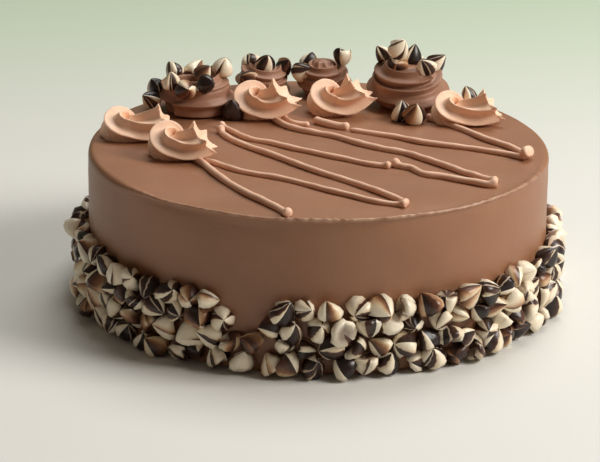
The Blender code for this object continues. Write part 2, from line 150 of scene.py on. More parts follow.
def apply_modifiers(piece):
    """Puts the mesh that the modifiers make in the place of the piece's own, and removes them."""
    bpy.context.view_layer.update()
    graph = bpy.context.evaluated_depsgraph_get()
    mesh = bpy.data.meshes.new_from_object(piece.evaluated_get(graph))
    piece.modifiers.clear()
    piece.data = mesh


def fuse(piece, grain, smoothing):
    """Fuses crossing surfaces into one skin by a voxel remesh, then softens it a little."""
    skin = piece.modifiers.new("Fuse", "REMESH")
    skin.mode = "VOXEL"
    skin.voxel_size = grain
    skin.use_smooth_shade = True
    if smoothing:
        soften = piece.modifiers.new("Soften", "SMOOTH")
        soften.factor = 0.5
        soften.iterations = smoothing
    apply_modifiers(piece)


# Materials


def principled(name, roughness, **levels):
    """A node material with its shader's plain numbers set, and its nodes and links."""
    made = bpy.data.materials.new(name)
    made.use_nodes = True
    tree = made.node_tree
    shader = tree.nodes["Principled BSDF"]
    shader.inputs["Roughness"].default_value = roughness
    for socket, value in levels.items():
        shader.inputs[socket.replace("_", " ")].default_value = value
    return made, tree, shader


def add_node(tree, kind, values=(), **settings):
    """A node with its settings, then its input values by name or number."""
    node = tree.nodes.new(kind)
    for key, value in settings.items():
        setattr(node, key, value)
    for key, value in dict(values).items():
        node.inputs[key].default_value = value
    return node


def math_node(tree, operation, first, second=None, third=None):
    """A Math node on sockets or numbers; gives its output socket."""
    node = tree.nodes.new("ShaderNodeMath")
    node.operation = operation
    for slot_number, value in enumerate((first, second, third)):
        if value is None:
            continue
        if isinstance(value, (int, float)):
            node.inputs[slot_number].default_value = value
        else:
            tree.links.new(value, node.inputs[slot_number])
    return node.outputs[0]


def mix_colours(tree, share, first, second):
    """Mixes two colours, given as sockets or as numbers, by a socket's share."""
    node = tree.nodes.new("ShaderNodeMix")
    node.data_type = "RGBA"
    tree.links.new(share, node.inputs["Factor"])
    for socket, value in ((node.inputs[6], first), (node.inputs[7], second)):
        if isinstance(value, tuple):
            socket.default_value = (*value, 1.0)
        else:
            tree.links.new(value, socket)
    return node.outputs[2]


CREAM_RELIEF = 0.1 * MM


def cream_grain_group():
    """Shared by the icing and the piped cream: a soft mottle of the colour, and a height of fine pores."""
    group = bpy.data.node_groups.new("cream grain", "ShaderNodeTree")
    face = group.interface
    for name, value in (("Mottle Size", 60.0), ("Pore Size", 900.0), ("Pore Share", 0.5)):
        face.new_socket(name, in_out="INPUT", socket_type="NodeSocketFloat").default_value = value
    face.new_socket("Mottle", in_out="OUTPUT", socket_type="NodeSocketFloat")
    face.new_socket("Height", in_out="OUTPUT", socket_type="NodeSocketFloat")
    inward = group.nodes.new("NodeGroupInput")
    outward = group.nodes.new("NodeGroupOutput")
    place = group.nodes.new("ShaderNodeTexCoord")
    mottle = add_node(group, "ShaderNodeTexNoise", {"Detail": 4.0, "Roughness": 0.55})
    fine = add_node(group, "ShaderNodeTexNoise", {"Detail": 3.0, "Roughness": 0.6})
    pores = add_node(group, "ShaderNodeTexVoronoi")
    for node, size in ((mottle, "Mottle Size"), (fine, "Pore Size")):
        group.links.new(place.outputs["Object"], node.inputs["Vector"])
        group.links.new(inward.outputs[size], node.inputs["Scale"])
    group.links.new(place.outputs["Object"], pores.inputs["Vector"])
    pore_scale = math_node(group, "MULTIPLY", inward.outputs["Pore Size"], 0.35)
    group.links.new(pore_scale, pores.inputs["Scale"])
    pit = math_node(group, "SMOOTH_MIN", pores.outputs["Distance"], 0.22, 0.1)
    pit = math_node(group, "MULTIPLY", pit, inward.outputs["Pore Share"])
    grain = math_node(group, "ADD", pit, fine.outputs["Fac"])
    group.links.new(grain, outward.inputs["Height"])
    group.links.new(mottle.outputs["Fac"], outward.inputs["Mottle"])
    return group


def cream_material(name, group, dark, light, roughness, mottle_size=90.0, pore_size=1100.0, pores=0.5,
                   streaks=0.0, gloss=0.32, crumbs_and_highlight=None):
    """Cream or icing: its colour drifts between two tones, and its surface carries fine pores.
    Streaks are those a scraper leaves along the side. The last colour is mixed in along the rim by the tone:
    pale crumbs where the lip is worn, and a painted highlight where it catches the light."""
    made, tree, shader = principled(
        name, roughness, Subsurface_Weight=0.06, Subsurface_Scale=0.002, Specular_IOR_Level=gloss,
    )
    shader.inputs["Subsurface Radius"].default_value = (1.0, 0.55, 0.35)
    grain = tree.nodes.new("ShaderNodeGroup")
    grain.node_tree = group
    grain.inputs["Mottle Size"].default_value = mottle_size
    grain.inputs["Pore Size"].default_value = pore_size
    grain.inputs["Pore Share"].default_value = pores
    spread = add_node(tree, "ShaderNodeMapRange", {"From Min": 0.32, "From Max": 0.68})
    tree.links.new(grain.outputs["Mottle"], spread.inputs["Value"])
    colour = mix_colours(tree, spread.outputs[0], dark, light)
    # Along the rim the tone mixes in a lighter colour: a painted highlight on the lip, and pale crumbs where it
    # is worn
    if crumbs_and_highlight:
        tone = add_node(tree, "ShaderNodeAttribute", attribute_name="tone")
        colour = mix_colours(tree, tone.outputs["Fac"], colour, crumbs_and_highlight)
    tree.links.new(colour, shader.inputs["Base Color"])
    height = grain.outputs["Height"]
    if streaks:
        place = tree.nodes.new("ShaderNodeTexCoord")
        stretch = add_node(tree, "ShaderNodeMapping", {"Scale": (60.0, 60.0, 16.0)})
        drag = add_node(tree, "ShaderNodeTexNoise", {"Scale": 1.0, "Detail": 5.0, "Roughness": 0.65})
        tree.links.new(place.outputs["Object"], stretch.inputs["Vector"])
        tree.links.new(stretch.outputs[0], drag.inputs["Vector"])
        height = math_node(tree, "ADD", height, math_node(tree, "MULTIPLY", drag.outputs["Fac"], streaks))
    bump = add_node(tree, "ShaderNodeBump", {"Strength": 1.0, "Distance": CREAM_RELIEF})
    tree.links.new(height, bump.inputs["Height"])
    tree.links.new(bump.outputs[0], shader.inputs["Normal"])
    return made


# Dark chocolate up to the middle of a ramp, and white past it
BAND_STOPS = (
    (0.0, (0.018, 0.009, 0.008)), (0.30, (0.022, 0.010, 0.008)), (0.44, (0.050, 0.020, 0.013)),
    (0.492, (0.090, 0.036, 0.022)), (0.508, (0.72, 0.56, 0.37)), (0.58, (0.92, 0.80, 0.61)),
    (1.0, (0.94, 0.84, 0.67)),
)
MILKY_STOPS = (
    (0.20, (0.030, 0.013, 0.010)), (0.38, (0.11, 0.042, 0.022)), (0.49, (0.36, 0.165, 0.075)),
    (0.57, (0.74, 0.52, 0.31)), (0.66, (0.92, 0.80, 0.60)), (1.0, (0.94, 0.84, 0.67)),
)
FINE_LINE_STOPS = (
    (0.31, (0.0, 0.0, 0.0)), (0.325, (1.0, 1.0, 1.0)), (0.345, (1.0, 1.0, 1.0)), (0.36, (0.0, 0.0, 0.0)),
)
FINE_LINE_COLOUR = (0.62, 0.48, 0.36)
# Painted shade for the hollow wide end of a drop
HOLLOW_SHADE_COLOUR = (0.10, 0.042, 0.024)
LINED_SHARE = 0.30
BANDED_SHARE = 0.66
PETAL_DARK_SPREAD = 0.9
DROP_DARK_SPREAD = 0.6
DROP_DARK_SHIFT = -0.25


def petal_place(tree, petals, parts, drift):
    """How far a point lies past the dark share of its petal: dark below 0 and white above it.
    The petal's edge slants and wanders, and its dark share is drawn from its number."""
    phase, balance, kind = parts.outputs
    wander = math_node(tree, "MULTIPLY_ADD", drift.outputs["Fac"], 0.30, -0.15)
    turns = math_node(tree, "MULTIPLY", petals.outputs[0], PETALS)
    across = math_node(tree, "FRACT", turns)
    number = math_node(tree, "SUBTRACT", turns, across)
    seed = math_node(tree, "MULTIPLY_ADD", number, 0.381, math_node(tree, "MULTIPLY", phase, 7.0))
    scattered = math_node(tree, "SINE", math_node(tree, "MULTIPLY", seed, 9.7))
    own = math_node(tree, "FRACT", math_node(tree, "MULTIPLY", scattered, 43.7))
    shift = math_node(tree, "MULTIPLY_ADD", balance, DROP_DARK_SPREAD, DROP_DARK_SHIFT)
    dark = math_node(tree, "MULTIPLY_ADD", own, PETAL_DARK_SPREAD, shift)
    slant = math_node(tree, "MULTIPLY_ADD", kind, 0.7, -0.35)
    lean = math_node(tree, "MULTIPLY_ADD", petals.outputs[1], slant, wander)
    return math_node(tree, "SUBTRACT", math_node(tree, "ADD", across, lean), dark)


def set_ramp(node, stops):
    """Fills a colour ramp with positions and colours."""
    ramp = node.color_ramp
    while len(ramp.elements) < len(stops):
        ramp.elements.new(0.5)
    for element, (position, colour) in zip(ramp.elements, stops):
        element.position = position
        element.color = (*colour, 1.0)
    return node


def marbled_material():
    """Marbled chocolate: each petal of a drop is part dark and part white. Some drops have a fine
    line in the dark, some blend through milk chocolate, and the hollow wide end carries painted shade."""
    made, tree, shader = principled("marbled chocolate", 0.33, Specular_IOR_Level=0.5)
    uv = add_node(tree, "ShaderNodeUVMap", uv_map="petals")
    petals = tree.nodes.new("ShaderNodeSeparateXYZ")
    tree.links.new(uv.outputs[0], petals.inputs[0])
    tone = add_node(tree, "ShaderNodeAttribute", attribute_name="tone")
    parts = tree.nodes.new("ShaderNodeSeparateColor")
    tree.links.new(tone.outputs["Color"], parts.inputs[0])
    place = tree.nodes.new("ShaderNodeTexCoord")
    drift = add_node(tree, "ShaderNodeTexNoise", {"Scale": 150.0, "Detail": 1.0})
    tree.links.new(place.outputs["Object"], drift.inputs["Vector"])
    level = math_node(tree, "MULTIPLY_ADD", petal_place(tree, petals, parts, drift), 0.5, 0.5)
    bands, milky, line = [
        set_ramp(tree.nodes.new("ShaderNodeValToRGB"), stops)
        for stops in (BAND_STOPS, MILKY_STOPS, FINE_LINE_STOPS)
    ]
    for ramp in (bands, milky, line):
        tree.links.new(level, ramp.inputs[0])
    kinds = math_node(tree, "FRACT", math_node(tree, "MULTIPLY", parts.outputs[2], 7.0))
    is_lined = math_node(tree, "LESS_THAN", kinds, LINED_SHARE)
    is_milky = math_node(tree, "GREATER_THAN", kinds, BANDED_SHARE)
    colour = mix_colours(tree, is_milky, bands.outputs[0], milky.outputs[0])
    colour = mix_colours(tree, math_node(tree, "MULTIPLY", line.outputs[0], is_lined), colour, FINE_LINE_COLOUR)
    # Painted shade: the hollow wide end at each drop's foot is darkened
    fade = {"From Min": 0.08, "From Max": 0.24, "To Min": 0.75, "To Max": 0.0}
    hollow = add_node(tree, "ShaderNodeMapRange", fade)
    tree.links.new(petals.outputs[1], hollow.inputs["Value"])
    colour = mix_colours(tree, hollow.outputs[0], colour, HOLLOW_SHADE_COLOUR)
    tree.links.new(colour, shader.inputs["Base Color"])
    fine = add_node(tree, "ShaderNodeTexNoise", {"Scale": 700.0, "Detail": 2.0})
    tree.links.new(place.outputs["Object"], fine.inputs["Vector"])
    bump = add_node(tree, "ShaderNodeBump", {"Strength": 0.6, "Distance": 0.00012})
    tree.links.new(fine.outputs["Fac"], bump.inputs["Height"])
    tree.links.new(bump.outputs[0], shader.inputs["Normal"])
    return made


grain_group = cream_grain_group()
# The icing's rim colour is partly pale crumbs and partly a painted highlight where the lip catches the key
# light
icing = cream_material(
    "chocolate icing", grain_group, (0.280, 0.121, 0.058), (0.330, 0.149, 0.075), 0.45,
    mottle_size=26.0, pore_size=700.0, pores=0.35, streaks=0.90, gloss=0.56, crumbs_and_highlight=(0.60, 0.38, 0.26),
)
light_cream = cream_material("light piped cream", grain_group, (0.90, 0.58, 0.40), (0.95, 0.65, 0.47), 0.45)
dark_cream = cream_material("dark piped cream", grain_group, (0.30, 0.148, 0.092), (0.36, 0.185, 0.118), 0.45)
# Painted shade: the zigzag is the same light cream as the rosettes, given darker tones
rope_cream_in_shade = cream_material("shaded zigzag cream", grain_group, (0.80, 0.49, 0.34), (0.89, 0.58, 0.42), 0.42)
marbled = marbled_material()


# The iced cake: a profile turned round Z, with a worn lip along its rim


# Radius and height in millimetres down the outline, and the rows of points from one to the next
TOP_OUTLINE = ((0.0, 67.0), (60.0, 67.0), (94.0, 67.0))
CRISP_RIM = (
    (97.5, 67.05), (98.8, 67.3), (99.5, 67.5), (100.0, 67.45),
    (100.25, 67.1), (100.15, 66.5), (99.65, 65.9), (99.6, 64.8),
)
ROUND_RIM = (
    (96.6, 67.0), (97.6, 66.95), (98.4, 66.75), (99.0, 66.35),
    (99.4, 65.85), (99.65, 65.3), (99.8, 64.6), (99.85, 63.6),
)
SIDE_OUTLINE = (
    (99.85, 61.8), (100.0, 56.0), (100.0, 30.0), (99.9, 4.0),
    (99.6, 0.8), (98.8, 0.0), (60.0, 0.0), (0.0, 0.0),
)
OUTLINE_STEPS = (16, 18, 8, 6, 5, 4, 4, 4, 4, 5, 8, 14, 36, 20, 5, 3, 4, 4)
ICING_COLUMNS = 560
# Bearings in degrees between which the rim is crisp, and between which its lip is worn
CRISP_FROM, CRISP_TO = -150.0, -8.0
WORN_FROM, WORN_TO = -101.0, -60.0


def icing_profiles():
    """Radius and height down the cake's outline, once with a crisp rim and once with a round one."""
    at = np.concatenate([[0.0], np.cumsum(OUTLINE_STEPS)])
    rows = np.arange(at[-1] + 1)
    profiles = []
    for rim in (CRISP_RIM, ROUND_RIM):
        corners = np.array(TOP_OUTLINE + rim + SIDE_OUTLINE)
        profiles.append((np.interp(rows, at, corners[:, 0]) * MM, np.interp(rows, at, corners[:, 1]) * MM))
    return profiles


def icing_mesh():
    """The turned outline, round over at the sides and crisp in front, where a ragged lip
    stands proud, with faint waves left by the scraper. The tone holds a painted highlight along the crisp lip,
    and its pale crumbs where it is worn."""
    (crisp_radius, crisp_height), (round_radius, round_height) = icing_profiles()
    columns = ICING_COLUMNS
    angle = np.arange(columns) / columns * TURN
    degrees = (np.degrees(angle) + 180.0) % 360.0 - 180.0
    crisp = between(degrees, CRISP_FROM, CRISP_TO, 25.0, 25.0)
    worn = between(degrees, WORN_FROM, WORN_TO, 5.0, 9.0)
    r = round_radius[1:-1, None] + (crisp_radius - round_radius)[1:-1, None] * crisp
    z = round_height[1:-1, None] + (crisp_height - round_height)[1:-1, None] * crisp
    lip = bump_at(crisp_height, 67.3 * MM, 0.9 * MM) * bump_at(crisp_radius, 99.9 * MM, 1.2 * MM)
    lip = lip[1:-1, None]
    on_lip = lip * (0.25 + 0.75 * crisp)
    ragged = 0.35 * ring_noise(angle, 3, 40, 160, 24) + 0.25 * ring_noise(angle, 5, 5, 20, 8)
    crumbs = 0.5 + 0.5 * ring_noise(angle, 21, 60, 200, 30)
    r = r + on_lip * (0.55 * ragged + worn * (0.35 + 0.85 * crumbs)) * MM
    uneven = 0.3 * ring_noise(angle, 4, 60, 220, 24) + 0.5 * ring_noise(angle, 6, 6, 30, 10)
    z = z + on_lip * uneven * 0.45 * MM
    z = z + on_lip * worn * (0.25 + 0.8 * crumbs) * MM
    broken = np.clip(0.65 + 0.5 * ring_noise(angle, 22, 30, 200, 24), 0.0, 1.0)
    # Painted highlight along the crisp lip that faces the key light, stronger where the lip is worn into pale
    # crumbs
    crumbs_and_highlight = lip * crisp * (0.45 + 0.55 * worn) * broken
    on_side = between(z, 0.0, CAKE_HEIGHT - 1.0 * MM, 4.0 * MM, 4.0 * MM) * (r > 90.0 * MM)
    waves = ring_noise(angle[None, :] + z / MM * 0.01, 8, 2, 9, 8)
    r = r + on_side * (0.30 * waves + 0.02 * line_noise(z, 9, 12 * MM, 4 * MM, 9)) * MM
    on_top = (z > 66.5 * MM) * smooth_step((98.0 * MM - r) / (6.0 * MM))
    x, y = r * np.cos(angle), r * np.sin(angle)
    swell = line_noise(x + 0.3 * y, 10, 90 * MM, 30 * MM, 5)
    swell = swell + line_noise(y - 0.2 * x, 11, 90 * MM, 30 * MM, 5)
    z = z + on_top * 0.12 * swell * MM
    grid = np.stack([x, y, z], -1)
    rows = len(grid)
    middles = [(0.0, 0.0, crisp_height[0]), (0.0, 0.0, crisp_height[-1])]
    points = np.concatenate([grid.reshape(-1, 3), middles])
    quads = grid_faces(rows, columns)[:, ::-1]
    first = fan_faces(np.arange(columns), rows * columns, False)
    last = fan_faces(np.arange(columns) + (rows - 1) * columns, rows * columns + 1, True)
    tone = np.repeat(np.concatenate([crumbs_and_highlight.reshape(-1), [0.0, 0.0]])[:, None], 3, axis=1)
    return new_mesh("iced_cake", points, quads, np.concatenate([first, last]), tones=tone)


# The drops


DROP_RADIUS = 5.5 * MM
DROP_LENGTH = 10.8 * MM
DROP_BALANCE = 0.38
DROP_OUTLINE = (
    (0.0, 0.30), (0.46, 0.20), (0.80, 0.015), (0.98, 0.11), (1.00, 0.24), (0.90, 0.42), (0.72, 0.59),
    (0.50, 0.75), (0.28, 0.88), (0.12, 0.965), (0.0, 1.0),
)
DROP_RIM = 0.30
# How drops differ: squash, winding of the petals, where the first one starts, bluntness of the
# tip, depth of the creases, ruffle of the petals' ends, and how hollow the wide end is
DROP_SPREADS = ((0.74, 1.0), (-0.04, 0.26), (0.0, 1.0), (0.0, 0.22), (0.12, 0.30), (0.02, 0.16), (0.1, 1.0))
DROP_BEND = 0.40
PETAL_EDGE = 0.93
BORDER_SEED = 7
BORDER_ROWS = 4
BORDER_ROW_FOOT = 5.6 * MM
BORDER_ROW_PITCH = 8.0 * MM
BORDER_DROP_PITCH = 10.0 * MM
BORDER_BITE = 0.7 * MM
BORDER_TOP_HEIGHT = 34.0 * MM
BORDER_DIP_BEARING = math.radians(-106.0)
BORDER_DIP_WIDTH = math.radians(5.0)
BORDER_DIP_DEPTH = 14.0 * MM
# Height in millimetres, count round the cake and phase of each wave of the border's upper edge
BORDER_WAVES = ((1.6, 5.0, 0.4), (1.3, 11.0, 2.0))
BORDER_BEARING_JITTER = 0.16
BORDER_HEIGHT_JITTER = 1.1 * MM
BORDER_EDGE_JITTER = 1.5 * MM
LEAST_DROP_SIZE, DROP_SIZE_SPREAD = 0.80, 0.26
# The plain drop of the solids: share of its radius and of its length, from foot to tip
PLAIN_DROP_PROFILE = ((0.0, 0.0), (1.0, 0.26), (0.0, 1.0))
PLAIN_DROP_SIDES = 5


def drop_matrix(place, axis, roll, size):
    """Stands a drop at a place with its tip along the axis."""
    turn = Vector((0, 0, 1)).rotation_difference(Vector(axis)).to_matrix().to_4x4()
    return (
        Matrix.Translation(Vector(place)) @ turn
        @ Matrix.Rotation(roll, 4, "Z") @ Matrix.Scale(size, 4)
    )


def angle_between(a, b):
    return abs((a - b + math.pi) % TURN - math.pi)


def border_top(bearing):
    """Height of the border's uneven upper edge at a bearing round the cake."""
    wave = sum(size * math.sin(count * bearing + phase) for size, count, phase in BORDER_WAVES)
    dip = math.exp(-((angle_between(bearing, BORDER_DIP_BEARING) / BORDER_DIP_WIDTH) ** 2))
    return BORDER_TOP_HEIGHT + wave * MM - BORDER_DIP_DEPTH * dip


def border_drops():
    """Bearing, height, axis, roll and size of each drop: staggered rows, each drop jittered and tumbled."""
    draw = np.random.default_rng(BORDER_SEED)
    found = []
    count = int(TURN * (CAKE_RADIUS + 0.6 * DROP_RADIUS) / BORDER_DROP_PITCH)
    for row in range(BORDER_ROWS):
        for i in range(count):
            jitter = draw.uniform(-1.0, 1.0, 2)
            tumble = draw.uniform(-1.0, 1.0, 3)
            roll, size, lift = draw.uniform(0.0, 1.0, 3)
            bearing = TURN * (i + 0.5 * (row % 2) + BORDER_BEARING_JITTER * jitter[0]) / count
            height = BORDER_ROW_FOOT + row * BORDER_ROW_PITCH + BORDER_HEIGHT_JITTER * jitter[1]
            if height > border_top(bearing) + BORDER_EDGE_JITTER * (lift - 0.5):
                continue
            outward = Vector((math.cos(bearing), math.sin(bearing), 0.0))
            along = Vector((-math.sin(bearing), math.cos(bearing), 0.0))
            axis = outward * (0.50 + 0.8 * tumble[0]) + along * 1.1 * tumble[1]
            axis += Vector((0.0, 0.0, 0.25 + 0.95 * tumble[2]))
            size = LEAST_DROP_SIZE + DROP_SIZE_SPREAD * size
            found.append((bearing, height, axis.normalized(), TURN * roll, size))
    return found


def press_on(shape, bearing, height, axis, roll, size):
    """Where a drop goes: moved inwards until it bites the icing, and up until it clears the foot."""
    outward = Vector((math.cos(bearing), math.sin(bearing), 0.0))
    turned = drop_matrix(outward * 2.0 * CAKE_RADIUS + Vector((0.0, 0.0, height)), axis, roll, size)
    spots = np.array([turned @ Vector(corner) for corner in shape])
    nearest = np.hypot(spots[:, 0], spots[:, 1]).min()
    move = outward * (CAKE_RADIUS - BORDER_BITE - nearest)
    move.z = max(0.0, GAP - spots[:, 2].min())
    return Matrix.Translation(move) @ turned


def coarse_drop():
    """The corners of the plain drop that the solids use, which sets how far each one is pressed in."""
    balance = DROP_BALANCE * DROP_LENGTH
    corners = []
    for across, along in PLAIN_DROP_PROFILE:
        for side in range(PLAIN_DROP_SIDES):
            angle = TURN * side / PLAIN_DROP_SIDES
            corners.append((
                across * DROP_RADIUS * math.cos(angle), across * DROP_RADIUS * math.sin(angle),
                along * DROP_LENGTH - balance,
            ))
    return corners


def petal_section(columns):
    """Columns round a drop, and how far each lies across its petal, from a crease to the crisp edge."""
    share = np.linspace(0.0, PETAL_EDGE, columns)
    around = (np.arange(PETALS)[:, None] + share).reshape(-1) / PETALS
    return around, np.tile(share / PETAL_EDGE, PETALS)


def drops_mesh(name, stands, seed, columns, rows, plump, least_dark, darker):
    """Many drops in one mesh. Each is its outline turned round its own axis: a blunt cone with a
    hollow wide end, and three petals that wind round it, overlap and end at different heights.
    Its share of dark is drawn above the least one, and then shifted by its own number in darker."""
    draw = np.random.default_rng(seed)
    outline = np.array(DROP_OUTLINE)
    step = np.linspace(0.0, 1.0, rows + 2)
    across = np.interp(step * (len(outline) - 1), np.arange(len(outline)), outline[:, 0])[1:-1]
    up = np.interp(step * (len(outline) - 1), np.arange(len(outline)), outline[:, 1])[1:-1]
    step = step[1:-1]
    turn, share = petal_section(columns)
    around = len(turn)
    total = len(stands)
    squash, winding, start, blunt, petals, ruffle, hollow = [
        draw.uniform(low, high, total)[:, None, None] for low, high in DROP_SPREADS
    ]
    bend = draw.uniform(-DROP_BEND, DROP_BEND, (total, 2))
    angle = TURN * (turn[None, None, :] + winding * step[None, :, None] + start)
    relief = smooth_step((step - 0.08) / 0.2) * smooth_step((1.04 - step) / 0.3)
    swell = np.sin(0.5 * np.pi * share) ** 0.8
    section = 1.03 - petals * (1.0 - swell)[None, None, :] * relief[None, :, None]
    radius = across[None, :, None] * section * DROP_RADIUS * plump
    inside = smooth_step((DROP_RIM - step) / DROP_RIM)[None, :, None]
    level = up[None, :, None] * (1.0 - (1.0 - hollow) * inside) * (1.0 - blunt * up[None, :, None] ** 2)
    level = level + ruffle * (share - 0.5)[None, None, :] * smooth_step((0.75 - step) / 0.5)[None, :, None]
    x = radius * np.cos(angle) + bend[:, 0, None, None] * DROP_RADIUS * level ** 3
    y = radius * np.sin(angle) * squash + bend[:, 1, None, None] * DROP_RADIUS * level ** 3
    body = np.stack([x, y, (level - DROP_BALANCE) * DROP_LENGTH], -1).reshape(total, -1, 3)
    foot = np.zeros((total, 1, 3))
    foot[:, 0, 2] = (outline[0, 1] * hollow.reshape(-1) - DROP_BALANCE) * DROP_LENGTH
    top = 1.0 - blunt.reshape(-1)
    tip = np.stack([bend[:, 0] * DROP_RADIUS * top ** 3, bend[:, 1] * DROP_RADIUS * top ** 3,
                    (top - DROP_BALANCE) * DROP_LENGTH], -1)[:, None, :]
    local = np.concatenate([body, foot, tip], 1)
    matrices = np.array([[list(row) for row in stand] for stand in stands])
    placed = np.einsum("nij,nkj->nki", matrices[:, :3, :3], local) + matrices[:, None, :3, 3]
    placed[..., 2] = np.maximum(placed[..., 2], 0.05 * MM)
    size = local.shape[1]
    foot_fan = fan_faces(np.arange(around), size - 2, True)
    tip_fan = fan_faces(np.arange(around) + (rows - 1) * around, size - 1, False)
    firsts = (np.arange(total) * size)[:, None, None]
    all_quads = (grid_faces(rows, around) + firsts).reshape(-1, 4)
    all_fans = (np.concatenate([foot_fan, tip_fan]) + firsts).reshape(-1, 3)
    u = np.concatenate([turn, [1.0]])
    i, j = np.meshgrid(np.arange(rows - 1), np.arange(around), indexing="ij")
    quad_u = u[np.stack([j, j + 1, j + 1, j], -1).reshape(-1, 4)]
    quad_v = step[np.stack([i, i, i + 1, i + 1], -1).reshape(-1, 4)]
    quad_uv = np.tile(np.stack([quad_u, quad_v], -1), (total, 1, 1))
    middle = 0.5 * (u[:-1] + u[1:])
    foot_u = np.stack([middle, u[1:], u[:-1]], -1)
    tip_u = np.stack([middle, u[:-1], u[1:]], -1)
    foot_v = np.tile([0.0, step[0], step[0]], (around, 1))
    tip_v = np.tile([1.0, step[-1], step[-1]], (around, 1))
    fan_uv = np.stack([np.concatenate([foot_u, tip_u]), np.concatenate([foot_v, tip_v])], -1)
    fan_uv = np.tile(fan_uv, (total, 1, 1))
    loop_uv = np.concatenate([quad_uv.reshape(-1, 2), fan_uv.reshape(-1, 2)])
    tones = draw.uniform(0.0, 1.0, (total, 3))
    tones[:, 1] = least_dark + (1.0 - least_dark) * tones[:, 1] + darker
    tones = np.repeat(tones, size, axis=0)
    return new_mesh(name, placed.reshape(-1, 3), all_quads, all_fans, loop_uv, tones)


# Place in millimetres from the middle of the cake's top, bearing and elevation of the tip, and size
TOP_DROPS = (
    (-73.5, 53.5, 9.5, -150, 55, 0.88), (-75.2, 45.2, 6.0, -135, 40, 0.88),
    (-66.0, 39.5, 16.5, -135, 75, 0.82), (-59.0, 33.5, 14.5, -75, 30, 0.90),
    (-51.5, 48.5, 17.5, -20, 55, 0.85), (-49.5, 35.5, 16.5, -45, 20, 0.85),
    (-43.0, 53.5, 19.5, -45, 65, 0.88), (-24.0, 72.0, 16.0, -55, 60, 0.90),
    (-32.5, 66.5, 10.0, -140, 20, 0.90), (-15.5, 77.0, 13.0, -45, 40, 0.85),
    (-7.5, 74.0, 11.5, -25, 30, 0.90), (10.5, 77.0, 17.5, -115, -70, 0.88),
    (36.0, 58.5, 27.1, -35, 45, 0.95), (28.5, 68.5, 22.0, 160, 50, 0.85), (35.0, 60.2, 19.8, -110, 20, 0.97),
    (42.5, 67.0, 22.0, 35, 70, 0.85), (47.5, 53.0, 21.0, -125, 55, 0.90), (53.0, 67.0, 18.0, -25, 40, 0.88),
    (67.0, 46.0, 10.0, -145, 70, 0.85), (36.5, 39.0, 4.2, -125, 75, 0.95), (42.8, 32.9, 5.0, -70, 55, 1.00),
    (-38.3, 36.5, 4.2, -70, 70, 0.97), (-65.5, 62.5, 15.0, 120, 50, 0.90), (-56.5, 67.0, 13.5, 55, 40, 0.90),
    (-31.0, 81.0, 14.0, 105, 40, 0.90), (-4.0, 83.0, 14.0, 60, 55, 0.90), (34.0, 75.0, 16.5, 120, 30, 0.90),
    (45.0, 75.5, 16.0, 50, 25, 0.90),
)
DARK_TOP_DROP = 22


def top_drop_stands():
    """Where each drop on the swirls and on the cake's top stands."""
    stands = []
    for number, (x, y, height, bearing, elevation, size) in enumerate(TOP_DROPS, 1):
        place = Vector((x, y, height)) * MM + Vector((0.0, 0.0, CAKE_HEIGHT))
        level = math.cos(math.radians(elevation))
        tip = (level * math.cos(math.radians(bearing)), level * math.sin(math.radians(bearing)),
               math.sin(math.radians(elevation)))
        stands.append(drop_matrix(place, tip, number * GOLDEN_ANGLE, size))
    return stands


# The piped zigzag


ROPE_SINK = 0.3
ROPE_COLUMNS = 20
ROPE_SPACING = 0.5 * MM
SWELL_REACH = 2.2 * MM
# Radius of each run, how much its first and its last end swell, and its bends in millimetres
ZIGZAG_RUNS = (
    (1.55, 0.75, 0.55, (
        (-12, -96.5), (-16.5, -88), (-25, -76), (-35, -61), (-44, -43), (-49, -31), (-54, -21.5))),
    (1.25, 0.55, 0.90, (
        (-54, -21.5), (-46, -27.5), (-33, -39.5), (-13, -50.5), (6, -64.5), (22, -76), (33, -81), (36, -82.5))),
    (1.40, 0.55, 0.90, (
        (36, -81), (32, -73), (19, -58), (0, -39.5), (-20, -17), (-34, -2), (-40.5, 8), (-43.5, 17))),
    (1.25, 0.50, 0.50, (
        (-43.5, 24.5), (-37.5, 15.5), (-31, 6), (-20, -0.5),
        (-7, -9.5), (10, -20.5), (22.5, -28), (30.5, -31))),
    (1.50, 0.90, 0.75, (
        (31.3, -27.6), (35.5, -31), (39.5, -33.5), (44.5, -41),
        (52.5, -44), (63.5, -49.5), (70.5, -53.5), (74.5, -52.5))),
    (1.45, 0.55, 0.60, (
        (74.5, -50.5), (68.5, -44), (59.5, -35.5), (48.5, -22.5), (43.5, -18), (36.5, -11.5),
        (26.5, -6), (19.5, -1), (6.5, 10.5), (-7, 18), (-16, 27.5), (-21, 39))),
    (1.30, 0.30, 0.10, ((-16, 36.5), (-11, 29), (-4, 26.5))),
    (1.75, 0.10, 0.25, ((-2, 33), (6.5, 25.5), (13.5, 22.5))),
    (1.30, 0.10, 3.10, (
        (13.5, 20), (23.5, 15.5), (33.5, 11), (46.5, 3.5), (66, -4), (81, -11.5), (85, -14), (90, -17))),
    (1.40, 2.40, 0.75, ((90.5, -15.5), (82, 0), (72, 11), (63, 23.5), (53, 35.5), (48, 39))),
)


def smooth_run(bends, spacing):
    """Points along a Catmull-Rom curve through the bends, about one spacing apart."""
    bends = np.array(bends, float) * MM
    ends = np.vstack([2 * bends[0] - bends[1], bends, 2 * bends[-1] - bends[-2]])
    points = [bends[0]]
    for a, b, c, d in zip(ends, ends[1:], ends[2:], ends[3:]):
        steps = max(1, round(float(np.linalg.norm(c - b)) / spacing))
        for t in np.arange(1, steps + 1) / steps:
            points.append(0.5 * (2 * b + (c - a) * t + (2 * a - 5 * b + 4 * c - d) * t**2
                                 + (3 * b - a - 3 * c + d) * t**3))
    return np.array(points)


